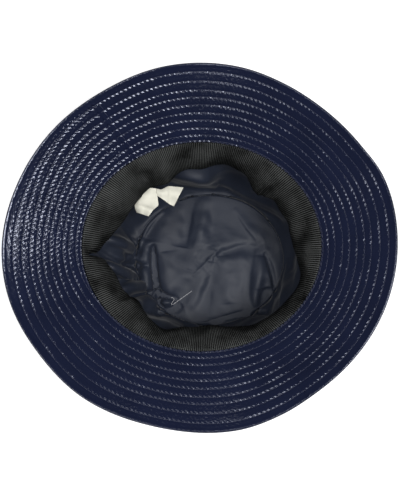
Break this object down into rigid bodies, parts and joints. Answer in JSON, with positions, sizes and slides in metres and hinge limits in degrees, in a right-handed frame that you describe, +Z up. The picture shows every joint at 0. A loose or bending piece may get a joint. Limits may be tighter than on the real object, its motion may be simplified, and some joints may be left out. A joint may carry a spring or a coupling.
{
  "type": "rain bucket hat",
  "caption": "Soft glossy rain hat with a stitched round brim, ribbed sweatband and loose lining, lying crown down with its mouth up.",
  "frame": {"origin": "middle of the hat's box, on the surface that its crown lies on", "axes": "+Z up out of the mouth, +X to the picture's right along the hat's length, +Y to the picture's top"},
  "size_m": [0.312, 0.2926, 0.121],
  "materials": {
    "vinyl": "glossy navy vinyl cloth",
    "ribbon": "black ribbed grosgrain ribbon",
    "lining": "dark navy satin",
    "label": "soft white woven tape"
  },
  "bodies": {
    "root": {"crown_tip": "vinyl", "crown_side_left": "vinyl", "crown_side_right": "vinyl", "brim_top_left": "vinyl", "brim_top_right": "vinyl", "brim_under_left": "vinyl", "brim_under_right": "vinyl", "sweatband": "ribbon", "lining_side": "lining", "lining_tip": "lining", "label_left": "label", "label_right": "label"}
  },
  "joints": []
}
